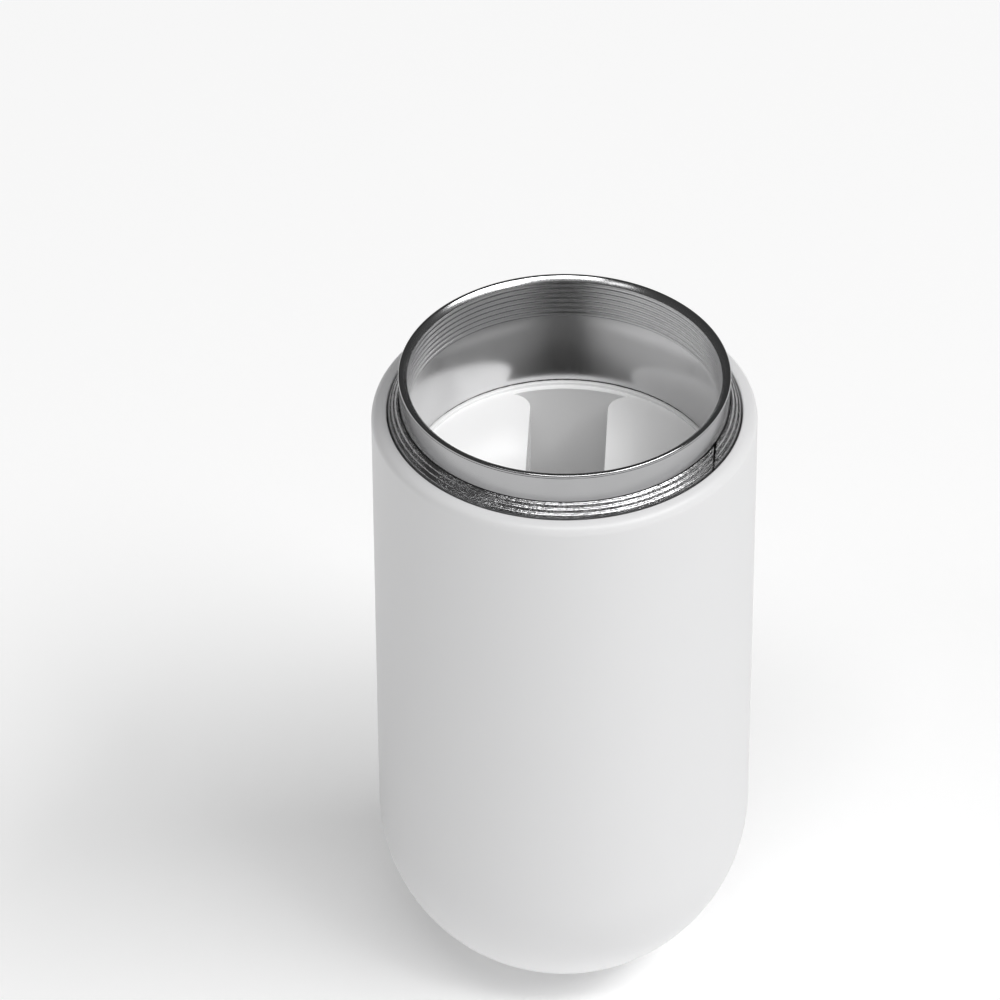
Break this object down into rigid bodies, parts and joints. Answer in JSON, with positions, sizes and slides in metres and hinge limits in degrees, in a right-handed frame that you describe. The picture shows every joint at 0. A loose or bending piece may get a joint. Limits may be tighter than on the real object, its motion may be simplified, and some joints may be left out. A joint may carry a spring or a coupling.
{
  "type": "stylus cap",
  "caption": "White domed push-on cap for a stylus, with a bright steel collar in its mouth that is held to the barrel by a ring magnet.",
  "frame": {"origin": "centre of the shell's flat rim, on the cap's axis, where the cap meets the barrel", "axes": "+Z along the cap's axis, out of its mouth; the plug slot in the floor runs along Y; the slit of the seat ring lies 28 degrees round from +X towards -Y"},
  "size_m": [0.0088, 0.0088, 0.0171],
  "materials": {
    "shell_white": "moulded white plastic with a soft gloss",
    "collar_steel": "bright plated steel, finely turned inside",
    "ring_steel": "bright plated steel, ridged and scuffed",
    "magnet_nickel": "nickel plated magnet",
    "glue_dark": "cured adhesive"
  },
  "bodies": {
    "root": {"outer_shell": "shell_white", "glue_ring": "glue_dark", "ring_magnet": "magnet_nickel", "collar": "collar_steel", "seat_ring": "ring_steel"}
  },
  "joints": []
}
